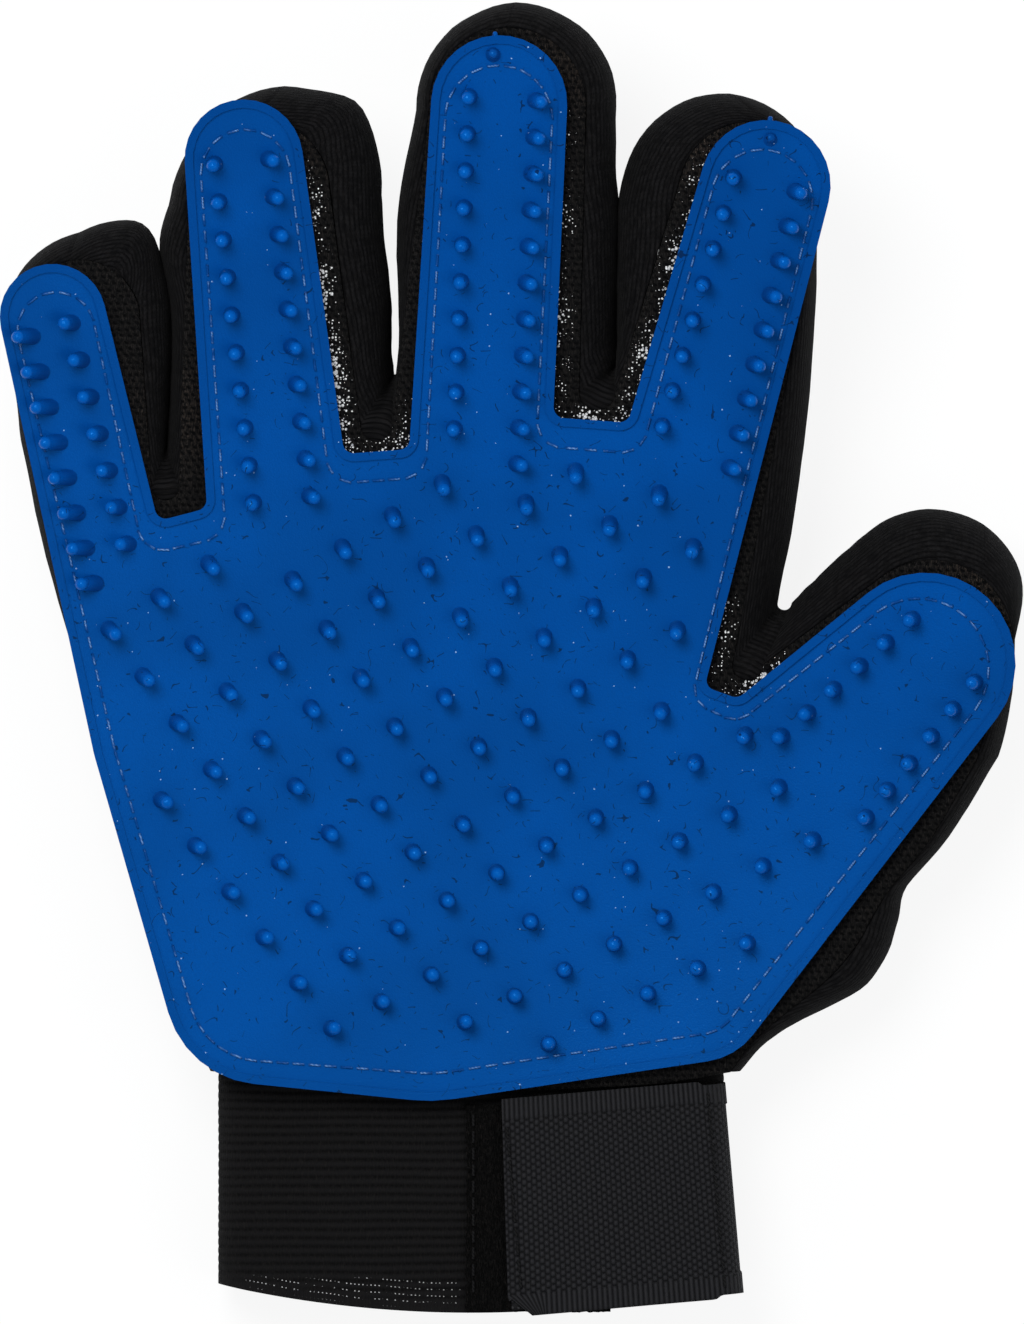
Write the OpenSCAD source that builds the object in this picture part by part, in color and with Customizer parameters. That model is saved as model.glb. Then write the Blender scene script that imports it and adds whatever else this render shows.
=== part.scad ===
// Right-hand pet grooming glove: pinned silicone pad sewn to a mesh glove,
// with a ribbed elastic cuff and a hook-and-loop wrist strap.
// Millimetres. +X to the thumb, +Y to the fingertips, +Z out of the palm.

/* [Palm cup] */
// radius of the hollow the palm side is bent into
cup_radius = 520; // [440:10:700]
// middle of that hollow across the hand
cup_x = 10; // [0:1:20]
// middle of that hollow along the hand
cup_y = -58; // [-70:1:-46]
// height of the palm mesh over the table at the middle of the hollow
palm_height = 22; // [20:0.5:26]
// radius the back of the glove is bent to
back_radius = 420; // [380:10:520]
// how far the back is pressed flat on the table
back_sink = 5; // [2:0.5:6]

/* [Fabric shell] */
// thickness of the knit fabric panels
fabric_t = 1.2; // [0.8:0.1:1.6]
// space left between two panels at a seam
panel_gap = 0.2; // [0.1:0.05:0.5]
// flat steps round each fingertip
tip_steps = 10; // [6:1:14]
// flat steps along the side of each finger
side_steps = 6; // [4:1:8]
// flat steps across the rounded side strips
arc_steps = 8; // [4:2:12]

/* [Silicone pad] */
// thickness of the pad sheet
pad_t = 1.8; // [1.2:0.1:2.6]
// space between the mesh and the pad
pad_gap = 0.15; // [0.1:0.05:0.3]
// width of the raised lip round the pad
lip_w = 1.5; // [0.8:0.1:2.4]
// height of the raised lip over the sheet
lip_h = 0.5; // [0.2:0.1:1]
// height of a pin over the sheet, up to the middle of its round end
pin_h = 3.9; // [2.5:0.1:5]
// radius of a pin at its foot
pin_foot_r = 1.6; // [1.3:0.05:2]
// radius of a pin under its round end
pin_top_r = 1.15; // [0.9:0.05:1.3]
// extra radius of the round end over the pin
pin_head_step = 0.06; // [0.03:0.01:0.15]
// distance a palm pin needs to lean in by one unit per unit of height
pin_lean_d = 250; // [180:10:600]
// largest angle of one straight step round the pad's corners
arc_angle = 12; // [6:1:20]
// radius of the round end of a mould nub
nub_r = 0.9; // [0.6:0.1:1.2]

/* [Pad stitching] */
// radius of the sewing thread
thread_r = 0.25; // [0.15:0.05:0.4]
// distance from one stitch to the next
stitch_pitch = 3; // [2.4:0.1:4]
// length of one stitch
stitch_len = 2.1; // [1.4:0.1:2.3]
// space between a stitch and what it lies on
stitch_gap = 0.03; // [0.02:0.01:0.1]

/* [Cuff] */
// width of the elastic cuff
cuff_w = 91.6; // [86:0.2:92]
// left edge of the cuff
cuff_left = -53.2; // [-54:0.1:-50]
// radius of the cuff's two folded sides
cuff_fold_r = 6; // [4:0.5:9]
// y of the edge tucked into the glove
cuff_y1 = -71.5; // [-73:0.5:-70]
// y of the lowest point of the wrist mouth
cuff_y0 = -117.6; // [-124:0.1:-110]
// radius of the curved wrist mouth edge
cuff_edge_r = 205; // [150:5:300]
// thickness of the elastic
cuff_t = 1.9; // [1.2:0.1:2.4]
// space between the cuff and the fabric round it
cuff_gap = 0.15; // [0.1:0.05:0.4]
// distance between elastic ribs
rib_pitch = 4; // [3:0.25:6]
// width of the groove between ribs
rib_groove_w = 0.9; // [0.4:0.1:1.4]
// depth of the groove between ribs
rib_groove_d = 0.35; // [0.15:0.05:0.5]
// left side of the slit under the strap
slit_x = 20; // [14:0.5:24]
// width of the slit under the strap
slit_w = 5; // [2:0.5:8]

/* [Strap] */
// x of the seam the strap turns about
strap_seam_x = 36; // [34:0.2:37]
// y of the middle of that seam
strap_seam_y = -95.4; // [-97:0.2:-94]
// turn of the strap in plan
strap_turn = 5; // [0:0.5:8]
// length of the strap from its seam to its free end
strap_len = 37.4; // [32:0.2:42]
// width of the strap
strap_w = 39.4; // [36:0.2:41]
// thickness of the woven strap
strap_t = 1.3; // [1:0.1:2]
// extra thickness of the two woven edges
selvage_h = 0.25; // [0.1:0.05:0.5]
// width of the two woven edges
selvage_w = 4; // [2:0.5:6]
// thickness of the hook tape under the strap
hook_t = 0.9; // [0.6:0.1:1.4]
// length of the hook tape
hook_len = 15; // [10:0.5:18]
// distance the hook tape stays inside the strap edges
hook_in = 1.2; // [0.5:0.1:3]
// thickness of the loop tape on the cuff
loop_t = 1.2; // [0.8:0.1:1.8]
// left edge of the loop tape
loop_x = -8.2; // [-12:0.2:-5]
// length of the loop tape across the cuff
loop_len = 26; // [20:0.5:27]
// space between hook tape and loop tape
tape_gap = 0.1; // [0.05:0.05:0.3]
// space between the strap and its sewn end at the seam
seam_gap = 0.3; // [0.2:0.05:0.6]
// thickness of the sewn end where it turns down
anchor_t = 1.6; // [1:0.1:2]
// width of the sewn end
anchor_w = 38; // [34:0.5:40]
// radius of its fold
anchor_fold_r = 4.6; // [3:0.2:6]
// how far it runs down, below the middle of the cuff
anchor_drop = 3; // [0:0.5:6]

/* [Hidden] */
$fn = 48;
big = 400;

// heights at the middle of the hollow
mesh_top = palm_height;
pad_bottom = mesh_top + pad_gap;
pad_top = pad_bottom + pad_t;

// height of the cup surface that stands h over the table at its middle
function cup_z(p, h) =
  cup_radius - sqrt(pow(cup_radius - h, 2) - pow(p[0] - cup_x, 2) - pow(p[1] - cup_y, 2));
// height of the outside of the back
function back_z(p) = max(0,
  back_radius - back_sink
  - sqrt(pow(back_radius, 2) - pow(p[0] - cup_x, 2) - pow(p[1] - cup_y, 2)));

// ---- outlines of the fabric shell -------------------------------------
// row 0: edge of the palm mesh, row 1: widest line, row 2: edge of the back
// fingertips: x, y, radius, angle the round end starts at, angle it stops at
TIPS = [
  [[-77.6, 61.2, 11, 188, 12], [-76.4, 61.4, 14.9, 186, 6], [-76.6, 60, 9, 188, 10]],
  [[-45.4, 84.6, 12.8, 184, 2], [-41.6, 85.3, 18.1, 184, -2], [-41.4, 84, 11, 184, 0]],
  [[-0.8, 99.6, 14.2, 182, -2], [1, 100, 18.5, 184, -2], [1, 98.6, 11.5, 184, -2]],
  [[42.8, 84.2, 12.8, 166, -14], [38.6, 84, 18.3, 180, -10], [39, 83, 11, 176, -10]],
  [[75.4, 3.6, 14.8, 132, -36], [75.4, 11.5, 16.4, 128, -20], [74, 6, 10.5, 130, -30]]
];
// crotches between the fingers: x, y, radius
CROTCH = [
  [[-62.4, 31.6, 2.4], [-62.3, 38.4, 0.35], [-62.4, 32, 3.4]],
  [[-24.4, 42.6, 2.8], [-21.5, 51.5, 0.5], [-21.6, 45, 4]],
  [[15.4, 48.6, 3.2], [18.8, 53.5, 0.35], [17.6, 48, 4]],
  [[42.6, -0.4, 2.8], [49.2, 8.6, 1.6], [46.4, 2.6, 4.4]]
];
// little-finger side of the palm, wrist to finger
LEFT = [
  [[-50.6, -74], [-55.4, -67.4], [-59.8, -59.4], [-66.2, -35.4], [-71.6, -17.2], [-76.2, -0.8],
   [-81.6, 18.6], [-85.6, 40]],
  [[-54.6, -74], [-58.4, -67.4], [-62.6, -59.4], [-69, -35], [-74.4, -17], [-79, 0],
   [-84.4, 19], [-88.8, 40]],
  [[-48, -74], [-51.6, -66.4], [-55, -57.8], [-61, -35.6], [-66.2, -18], [-71, -2],
   [-77, 18], [-82, 39]]
];
// thumb side of the palm, thumb to wrist
RIGHT = [
  [[84, -17.4], [76, -31.4], [68.6, -40.6], [65.4, -45.6], [62.4, -51], [57.4, -57],
   [49.6, -63.4], [43.6, -68.6], [39.6, -74]],
  [[87, -17.1], [79.4, -31.7], [71.8, -40.5], [70.2, -46.8], [67.6, -54], [63.2, -59.4],
   [53, -64.8], [46.4, -68.8], [41.4, -74]],
  [[78, -15.6], [70.4, -28], [63.4, -37], [60, -43], [56.6, -49], [51.6, -55],
   [45.4, -61.4], [40.4, -67.6], [36.6, -74]]
];
// wrist edge of the two flat panels, thumb side to little side
WRIST = [[25, -76.2], [0, -77.4], [-20, -77.2], [-40, -75.6]];

function polar(c, r, a) = [c[0] + r * cos(a), c[1] + r * sin(a)];
function round_end(t) =
  [for (i = [0:tip_steps]) polar(t, t[2], t[3] + (t[4] - t[3]) * i / tip_steps)];
function crotch(c) = [for (i = [0:4]) polar(c, c[2], 180 + 45 * i)];
function between(a, b) =
  [for (i = [1:side_steps - 1]) a + (b - a) * i / side_steps];
function first(v) = v[0];
function last(v) = v[len(v) - 1];
function half_up(t) = [for (i = [0:tip_steps / 2]) round_end(t)[i]];
function half_down(t) = [for (i = [tip_steps / 2:tip_steps]) round_end(t)[i]];

// stations of each side strip, tip to tip, for row k of the tables above
function strip_little(k) =
  concat(LEFT[k], between(last(LEFT[k]), first(round_end(TIPS[0][k]))), half_up(TIPS[0][k]));
function strip_pair(f, k) =
  let (a = half_down(TIPS[f][k]), c = crotch(CROTCH[f][k]), b = half_up(TIPS[f + 1][k]))
  concat(a, between(last(a), first(c)), c, between(last(c), first(b)), b);
function strip_thumb(k) =
  let (a = half_down(TIPS[4][k])) concat(a, between(last(a), first(RIGHT[k])), RIGHT[k]);

function unit(v) = v / max(norm(v), 0.001);
// pull the two ends of a strip in by half a seam gap
function trim(v) =
  let (n = len(v) - 1)
  [for (i = [0:n])
    i == 0 ? v[0] + unit(v[1] - v[0]) * panel_gap / 2 :
    i == n ? v[n] + unit(v[n - 1] - v[n]) * panel_gap / 2 : v[i]];

// closed section of a strip: outside from back to palm, inside from palm to back
function section(t, m, b) =
  let (zt = cup_z(t, mesh_top), zb = back_z(b), zm = zb + (zt - zb) * 0.5,
       out = unit(m - (t + b) / 2), n = m - out * fabric_t)
  concat(
    [for (i = [0:arc_steps]) let (a = -90 + 180 * i / arc_steps, e = a < 0 ? b : t,
      p = m + (e - m) * (1 - cos(a)), z = a < 0 ? zm + (zm - zb) * sin(a) : zm + (zt - zm) * sin(a))
      [p[0], p[1], z]],
    [for (i = [0:arc_steps]) let (a = 90 - 180 * i / arc_steps, e = a < 0 ? b : t,
      p = n + (e - n) * (1 - cos(a)),
      z = a < 0 ? zm + (zm - zb - fabric_t) * sin(a) : zm + (zt - fabric_t - zm) * sin(a))
      [p[0], p[1], z]]);

module strip(t, m, b) {
  tt = trim(t);
  mm = trim(m);
  bb = trim(b);
  n = len(tt);
  k = 2 * arc_steps + 2;
  pts = [for (i = [0:n - 1]) each section(tt[i], mm[i], bb[i])];
  skin = [for (i = [0:n - 2]) for (j = [0:k - 1]) each [
    [i * k + j, (i + 1) * k + j, i * k + (j + 1) % k],
    [i * k + (j + 1) % k, (i + 1) * k + j, (i + 1) * k + (j + 1) % k]]];
  caps = [for (j = [0:arc_steps - 1]) each [
    [j, j + 1, k - 1 - j], [j + 1, k - 2 - j, k - 1 - j],
    [(n - 1) * k + j, (n - 1) * k + k - 1 - j, (n - 1) * k + j + 1],
    [(n - 1) * k + j + 1, (n - 1) * k + k - 1 - j, (n - 1) * k + k - 2 - j]]];
  polyhedron(points = pts, faces = concat(skin, caps), convexity = 10);
}

// outline of a flat panel, pulled in from the side strips by the seam gap
function panel_row(k) = concat(strip_little(k), strip_pair(0, k), strip_pair(1, k),
  strip_pair(2, k), strip_pair(3, k), strip_thumb(k));
function no_repeats(v) = [for (i = [0:len(v) - 1])
  if (i == 0 || norm(v[i] - v[i - 1]) > 0.01) v[i]];
function pulled(e, m) = [for (i = [0:len(e) - 1]) e[i] + unit(e[i] - m[i]) * panel_gap];

module panel_plan(k) {
  polygon(concat(no_repeats(pulled(panel_row(k), panel_row(1))), WRIST));
}

// part of space over the cup surface that stands h over the table
module over_cup(h) {
  translate([cup_x, cup_y, cup_radius])
    rotate([90, 0, 0]) sphere(r = cup_radius - h, $fn = 200);
}

// ---- silicone pad --------------------------------------------------------
// circles the pad outline runs round, clockwise: x, y, radius (minus inside a slot)
PAD = [
  [-44.7, -58.2, 18], [-64.6, -14, 11],
  [-82.4, 61.9, 9.5], [-62.3, 27.8, -2], [-57, 29.2, -2],
  [-48.1, 90.2, 10.6], [-28.5, 39.6, -2], [-20.4, 40.2, -2],
  [-2.3, 100.1, 12.2], [9.5, 45.9, -2], [19.4, 45.2, -2],
  [45.5, 85.5, 11.7], [36.9, -3.3, -1.8], [40.3, -4.1, -2.2],
  [74.4, -0.2, 16.3], [33.5, -59.6, 12.6], [-15, -49.2, 30]
];
// circles the stitch line runs round, the same way
SEW = [
  [-44.7, -58.2, 13.8], [-64.6, -14, 7.2],
  [-81.8, 59.4, 6.9], [-62.6, 25, -4.8], [-56.6, 26.4, -4.8],
  [-47.8, 87.4, 8], [-28.6, 37.2, -4.8], [-20.2, 37.8, -4.8],
  [-2.4, 97.3, 9.6], [9.4, 43.4, -4.8], [19.6, 42.6, -4.8],
  [44.8, 82.8, 9.1], [37.4, -4.6, -4.4], [40, -5.6, -4.6],
  [73.2, -1.2, 12.6], [33.5, -59.6, 7.6], [-15, -49.2, 25]
];

// direction the outline faces on its straight run from circle a to circle b
function facing(a, b) =
  let (d = [b[0] - a[0], b[1] - a[1]]) atan2(d[1], d[0]) + acos((a[2] - b[2]) / norm(d));
function facing_out(c, i) = facing(c[i], c[(i + 1) % len(c)]);
function facing_in(c, i) = facing(c[(i + len(c) - 1) % len(c)], c[i]);
// angle turned through on circle i, clockwise on a round end and the other way in a slot
function turned(c, i) =
  let (t = (facing_out(c, i) - facing_in(c, i) + 720) % 360) c[i][2] > 0 ? (t == 0 ? 0 : t - 360) : t;
// points of the outline drawn in by s, with no step over a degrees
function outline(c, s, a) =
  [for (i = [0:len(c) - 1])
    let (t = turned(c, i), n = max(1, ceil(abs(t) / a)))
    for (j = [0:n]) polar(c[i], c[i][2] - s, facing_in(c, i) + t * j / n)];

module pad_plan(s) {
  polygon(outline(PAD, s, arc_angle));
}

module cup_sheet(h0, h1) {
  difference() {
    intersection() {
      linear_extrude(height = 90) children();
      over_cup(h0);
    }
    over_cup(h1);
  }
}

// pin columns on the fingers: first head, last head, count, lean
PIN_COLUMN = [
  [[-88.6, 58.3], [-77.4, 14], 8, [-0.55, -0.05]],
  [[-80.3, 60.7], [-70.4, 21.1], 7, [-0.3, -0.05]],
  [[-53.6, 88.9], [-46.8, 28.3], 10, [-0.06, -0.12]],
  [[-42.8, 89.8], [-35.6, 29.5], 10, [0.22, -0.12]],
  [[-7.9, 101], [-10.6, 41.6], 10, [-0.05, -0.12]],
  [[5.2, 100.3], [1.8, 35.3], 11, [0.24, -0.12]],
  [[39.6, 86.6], [26.9, 42.1], 8, [-0.04, -0.12]],
  [[51.8, 84.1], [40.1, 34.6], 9, [0.24, -0.12]],
  [[71.4, 7.4], [47.9, -13.7], 6, [-0.2, -0.1]],
  [[82.8, -3.8], [63.3, -28.2], 6, [-0.16, -0.06]]
];
// palm pins stand on a slightly fanned lattice: row, first, last
PIN_START = [-62.5, 10.8];
PIN_DOWN = [6.03, -8.41];
PIN_ACROSS = [8.84, 5.85];
PIN_FAN = -0.135;
PIN_ROW = [[0, -1, 1], [1, -1, 5], [2, -1, 7], [3, -2, 8], [4, -2, 8], [5, -2, 7], [6, -2, 6],
           [7, -2, 7], [8, -2, 7], [9, 0, 7], [10, 1, 5]];

// one pin with its round end at head and leaning by the pair lean
module pin(head, lean) {
  foot = head - lean * pin_h;
  up = sqrt(1 + lean * lean);
  translate([foot[0], foot[1], cup_z(foot, pad_top)])
    rotate([0, atan(norm(lean)), atan2(lean[1], lean[0])])
      rotate_extrude()
        intersection() {
          union() {
            polygon([[0, -pad_t / 2], [pin_foot_r, -pad_t / 2], [pin_top_r, pin_h * up],
                     [0, pin_h * up]]);
            translate([0, pin_h * up]) circle(r = pin_top_r + pin_head_step);
          }
          translate([0, -pad_t]) square([2 * pin_foot_r, 4 * pin_h]);
        }
}

module pins() {
  for (c = PIN_COLUMN)
    for (i = [0:c[2] - 1])
      pin(c[0] + (c[1] - c[0]) * i / (c[2] - 1), c[3]);
  for (r = PIN_ROW)
    for (j = [r[1]:r[2]])
      let (head = PIN_START + PIN_DOWN * r[0] + PIN_ACROSS * j + [0, PIN_FAN * r[0] * j])
        pin(head, ([cup_x, cup_y] - head) / pin_lean_d);
}

module nub(p, h) {
  translate([p[0], p[1], cup_z(p, pad_top) - 0.4]) {
    cylinder(h = h, r1 = nub_r + 0.6, r2 = nub_r);
    translate([0, 0, h]) sphere(r = nub_r + 0.05);
  }
}

module silicone_pad() {
  color([0.02, 0.28, 0.6]) {
    difference() {
      cup_sheet(pad_bottom, pad_top + lip_h) pad_plan(0);
      intersection() {
        translate([0, 0, 1]) linear_extrude(height = 90) pad_plan(lip_w);
        over_cup(pad_top);
      }
    }
    pins();
    nub([-3.4, 109], 1.6);
    nub([46.4, 94], 0.9);
  }
}

// ---- perimeter stitching ---------------------------------------------------
module stitch(p, a, z, l) {
  translate([p[0], p[1], z + thread_r + stitch_gap])
    rotate([0, 0, a]) rotate([0, 90, 0])
      translate([0, 0, -l / 2]) cylinder(h = l, r = thread_r, $fn = 16);
}

// stitches on the cup, tipped to follow its slope
module cup_stitch(p, a, h) {
  u = [cos(a), sin(a)];
  s = (cup_z(p + u, h) - cup_z(p - u, h)) / 2;
  translate([p[0], p[1], cup_z(p, h) + thread_r + stitch_gap])
    rotate([0, 0, a]) rotate([0, 90 - atan(s), 0])
      translate([0, 0, -stitch_len / 2]) cylinder(h = stitch_len, r = thread_r, $fn = 16);
}

module pad_stitching() {
  color([0.75, 0.85, 0.95])
    for (i = [0:len(SEW) - 1])
      let (c = SEW[i], e = SEW[(i + 1) % len(SEW)], g = facing_in(SEW, i), t = turned(SEW, i),
           n = max(1, round(abs(t) * PI / 180 * abs(c[2]) / stitch_pitch)),
           a = polar(c, c[2], g + t), b = polar(e, e[2], g + t),
           m = round(norm(b - a) / stitch_pitch)) {
        for (j = [0:n - 1])
          cup_stitch(polar(c, c[2], g + t * (j + 0.5) / n), g + t * (j + 0.5) / n + 90, pad_top);
        if (m > 0)
          for (j = [0:m - 1])
            cup_stitch(a + (b - a) * (j + 0.5) / m, g + t - 90, pad_top);
      }
}

// ---- flat fabric panels ------------------------------------------------------
module palm_mesh() {
  color([0.09, 0.09, 0.09])
    cup_sheet(mesh_top - fabric_t, mesh_top) panel_plan(0);
}

module under_back(t) {
  intersection() {
    translate([cup_x, cup_y, back_radius - back_sink])
      rotate([90, 0, 0]) sphere(r = back_radius - t, $fn = 200);
    translate([-big / 2, -big / 2, t]) cube([big, big, 90]);
  }
}

module back_panel() {
  color([0.07, 0.07, 0.07])
    difference() {
      intersection() {
        linear_extrude(height = 60) panel_plan(2);
        under_back(0);
      }
      under_back(fabric_t);
    }
}

// ---- side strips -------------------------------------------------------------
module side_strip_little() {
  color([0.06, 0.06, 0.06]) strip(strip_little(0), strip_little(1), strip_little(2));
}

module fourchette_little_ring() {
  color([0.06, 0.06, 0.06]) strip(strip_pair(0, 0), strip_pair(0, 1), strip_pair(0, 2));
}

module fourchette_ring_middle() {
  color([0.06, 0.06, 0.06]) strip(strip_pair(1, 0), strip_pair(1, 1), strip_pair(1, 2));
}

module fourchette_middle_index() {
  color([0.06, 0.06, 0.06]) strip(strip_pair(2, 0), strip_pair(2, 1), strip_pair(2, 2));
}

module thumb_gusset() {
  color([0.06, 0.06, 0.06]) strip(strip_pair(3, 0), strip_pair(3, 1), strip_pair(3, 2));
}

module side_strip_thumb() {
  color([0.06, 0.06, 0.06]) strip(strip_thumb(0), strip_thumb(1), strip_thumb(2));
}

// ---- cuff ------------------------------------------------------------------------
cuff_z0 = fabric_t + cuff_gap;
cuff_z1 = mesh_top - fabric_t - cuff_gap;
cuff_hh = (cuff_z1 - cuff_z0) / 2;
cuff_mid_x = cuff_left + cuff_w / 2;
cuff_long = cuff_y1 - cuff_y0;

// flattened tube drawn in by s, in the plane across the wrist
module oval(s) {
  w = cuff_w / 2;
  f = cuff_fold_r;
  for (x = [f - w, w - f])
    for (y = [f - cuff_hh, cuff_hh - f])
      translate([x, y]) circle(r = f - s);
  translate([f - w, s - cuff_hh]) square([2 * (w - f), 2 * (cuff_hh - s)]);
  translate([s - w, f - cuff_hh]) square([2 * (w - s), 2 * (cuff_hh - f)]);
}

module across_wrist(y, l) {
  translate([cuff_mid_x, y + l, cuff_z0 + cuff_hh])
    rotate([90, 0, 0]) linear_extrude(height = l) children();
}

module cuff_elastic() {
  color([0.08, 0.08, 0.08])
    difference() {
      intersection() {
        across_wrist(cuff_y0 - 1, cuff_long + 1)
          difference() {
            oval(0);
            oval(cuff_t);
          }
        translate([cuff_mid_x, cuff_y0 + cuff_edge_r, -5])
          cylinder(h = 60, r = cuff_edge_r, $fn = 200);
      }
      for (y = [cuff_y1 - 8:-rib_pitch:cuff_y0 + 6.5])
        across_wrist(y - rib_groove_w / 2, rib_groove_w)
          difference() {
            oval(-1);
            oval(rib_groove_d);
          }
      translate([slit_x, cuff_y0 - 10, cuff_z1 - cuff_t - 2])
        cube([slit_w, cuff_long + 20, cuff_t + 6]);
    }
}

// row of stitches where the cuff is sewn into the glove, on the back
module cuff_hem_stitching() {
  color([0.05, 0.05, 0.05])
    for (i = [0:23])
      translate([0, 0, cuff_z0 + cuff_t])
        stitch([-40 + 3 * i, cuff_y1 - 2.4], 0, 0, stitch_len);
}

// ---- wrist strap ---------------------------------------------------------------------
loop_z = cuff_z1 + stitch_gap;
hook_z = loop_z + loop_t + tape_gap;
web_z = hook_z + hook_t;
loop_y0 = cuff_y0 + 2.2;
loop_y1 = -80;

module loop_tape() {
  color([0.05, 0.05, 0.05])
    translate([loop_x, loop_y0, loop_z]) cube([loop_len, loop_y1 - loop_y0, loop_t]);
}

module loop_tape_stitching() {
  color([0.12, 0.12, 0.12])
    for (i = [0:10])
      stitch([loop_x + 1.2, loop_y0 + 2.6 + 3 * i], 90, loop_z + loop_t, stitch_len);
}

// things placed here run back from the seam along -X
module at_seam() {
  translate([strap_seam_x, strap_seam_y, 0]) rotate([0, 0, strap_turn]) children();
}

module strap_web() {
  color([0.11, 0.11, 0.12])
    at_seam() {
      translate([-strap_len, -strap_w / 2, web_z])
        cube([strap_len - seam_gap, strap_w, strap_t]);
      for (y = [-strap_w / 2, strap_w / 2 - selvage_w])
        translate([-strap_len, y, web_z])
          cube([strap_len - seam_gap, selvage_w, strap_t + selvage_h]);
    }
}

module strap_edge_stitching() {
  color([0.05, 0.05, 0.05])
    at_seam()
      for (i = [0:9])
        stitch([1.6 - strap_len, -13.5 + 3 * i], 90, web_z + strap_t, stitch_len);
}

module hook_tape() {
  color([0.09, 0.09, 0.1])
    at_seam()
      translate([0.6 - strap_len, hook_in - strap_w / 2, hook_z])
        cube([hook_len, strap_w - 2 * hook_in, hook_t - stitch_gap]);
}

// outside of the sewn end, which runs level with the strap and turns down the edge
anchor_right = cuff_left + cuff_w + anchor_t;
anchor_top = web_z + strap_t;

// sewn end of the strap, folded over the thumb edge of the cuff
module strap_anchor() {
  x = anchor_right - anchor_fold_r - cuff_mid_x;
  z = anchor_top - anchor_fold_r - cuff_z0 - cuff_hh;
  color([0.11, 0.11, 0.12])
    difference() {
      at_seam()
        translate([-strap_seam_x, -strap_seam_y, 0])
          across_wrist(strap_seam_y - anchor_w / 2, anchor_w)
            intersection() {
              union() {
                translate([x, z]) circle(r = anchor_fold_r);
                translate([0, z - 30]) square([x + anchor_fold_r, 30]);
                translate([0, z - 30]) square([x, 30 + anchor_fold_r]);
              }
              translate([strap_seam_x - cuff_mid_x, -anchor_drop]) square([40, 40]);
            }
      across_wrist(cuff_y0 - 20, cuff_long + 40) oval(-stitch_gap);
    }
}

module anchor_stitching() {
  color([0.05, 0.05, 0.05])
    at_seam()
      for (i = [0:11])
        stitch([0.9, -16.5 + 3 * i], 90, anchor_top - 0.08, stitch_len);
}

silicone_pad();
pad_stitching();
palm_mesh();
back_panel();
side_strip_little();
fourchette_little_ring();
fourchette_ring_middle();
fourchette_middle_index();
thumb_gusset();
side_strip_thumb();
cuff_elastic();
cuff_hem_stitching();
loop_tape();
loop_tape_stitching();
strap_web();
strap_edge_stitching();
hook_tape();
strap_anchor();
anchor_stitching();
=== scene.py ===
import math

import bpy
import numpy as np
from mathutils import Matrix, Vector, geometry, noise


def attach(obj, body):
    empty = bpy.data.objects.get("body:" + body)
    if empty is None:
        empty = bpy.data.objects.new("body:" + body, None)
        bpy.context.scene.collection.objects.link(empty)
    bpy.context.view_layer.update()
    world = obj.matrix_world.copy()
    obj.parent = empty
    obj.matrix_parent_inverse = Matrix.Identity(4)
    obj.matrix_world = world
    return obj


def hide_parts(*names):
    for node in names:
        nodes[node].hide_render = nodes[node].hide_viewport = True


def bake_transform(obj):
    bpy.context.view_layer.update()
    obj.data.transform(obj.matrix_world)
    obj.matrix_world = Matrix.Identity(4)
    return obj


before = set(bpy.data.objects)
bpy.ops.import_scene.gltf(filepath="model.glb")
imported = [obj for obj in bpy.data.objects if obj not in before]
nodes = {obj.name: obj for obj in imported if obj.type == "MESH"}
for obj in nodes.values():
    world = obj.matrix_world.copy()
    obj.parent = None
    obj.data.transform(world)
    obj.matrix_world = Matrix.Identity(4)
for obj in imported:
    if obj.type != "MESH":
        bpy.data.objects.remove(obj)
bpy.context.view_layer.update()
for shown in bpy.context.selected_objects:
    shown.select_set(False)
MM = 0.001

# ---- camera and studio ----
# The camera looks straight down on the palm, as the catalogue picture does, from far
# enough away that the raised fingertips keep their size.
PICTURE_H = 1324 * 0.18 * MM
lens_data = bpy.data.cameras.new("camera")
lens_data.sensor_fit = "VERTICAL"
lens_data.sensor_height = 36
lens_data.lens = 600
lens_data.clip_start = 0.1
lens_data.clip_end = 30
camera = bpy.data.objects.new("camera", lens_data)
camera.location = (0, 0, 0.036 + PICTURE_H / 36 * 600)
bpy.context.scene.collection.objects.link(camera)
bpy.context.scene.camera = camera
bpy.context.scene.view_settings.view_transform = "Standard"

world = bpy.data.worlds.new("studio")
world.use_nodes = True
bpy.context.scene.world = world
wt = world.node_tree
wt.nodes.clear()
w_out = wt.nodes.new("ShaderNodeOutputWorld")
w_room = wt.nodes.new("ShaderNodeBackground")
w_room.inputs["Color"].default_value = (0.93, 0.965, 1, 1)
w_room.inputs["Strength"].default_value = 0.52
w_white = wt.nodes.new("ShaderNodeBackground")
w_white.inputs["Color"].default_value = (1, 1, 1, 1)
w_white.inputs["Strength"].default_value = 1
w_path = wt.nodes.new("ShaderNodeLightPath")
w_mix = wt.nodes.new("ShaderNodeMixShader")
wt.links.new(w_path.outputs["Is Camera Ray"], w_mix.inputs[0])
wt.links.new(w_room.outputs[0], w_mix.inputs[1])
wt.links.new(w_white.outputs[0], w_mix.inputs[2])
wt.links.new(w_mix.outputs[0], w_out.inputs[0])


def soft_light(name, place, size, watts):
    data = bpy.data.lights.new(name, "AREA")
    data.shape = "DISK"
    data.size = size
    data.energy = watts
    lamp = bpy.data.objects.new(name, data)
    lamp.location = place
    lamp.rotation_mode = "QUATERNION"
    lamp.rotation_quaternion = (Vector((0, 0, 0)) - Vector(place)).to_track_quat("-Z", "Y")
    bpy.context.scene.collection.objects.link(lamp)
    return lamp


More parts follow.
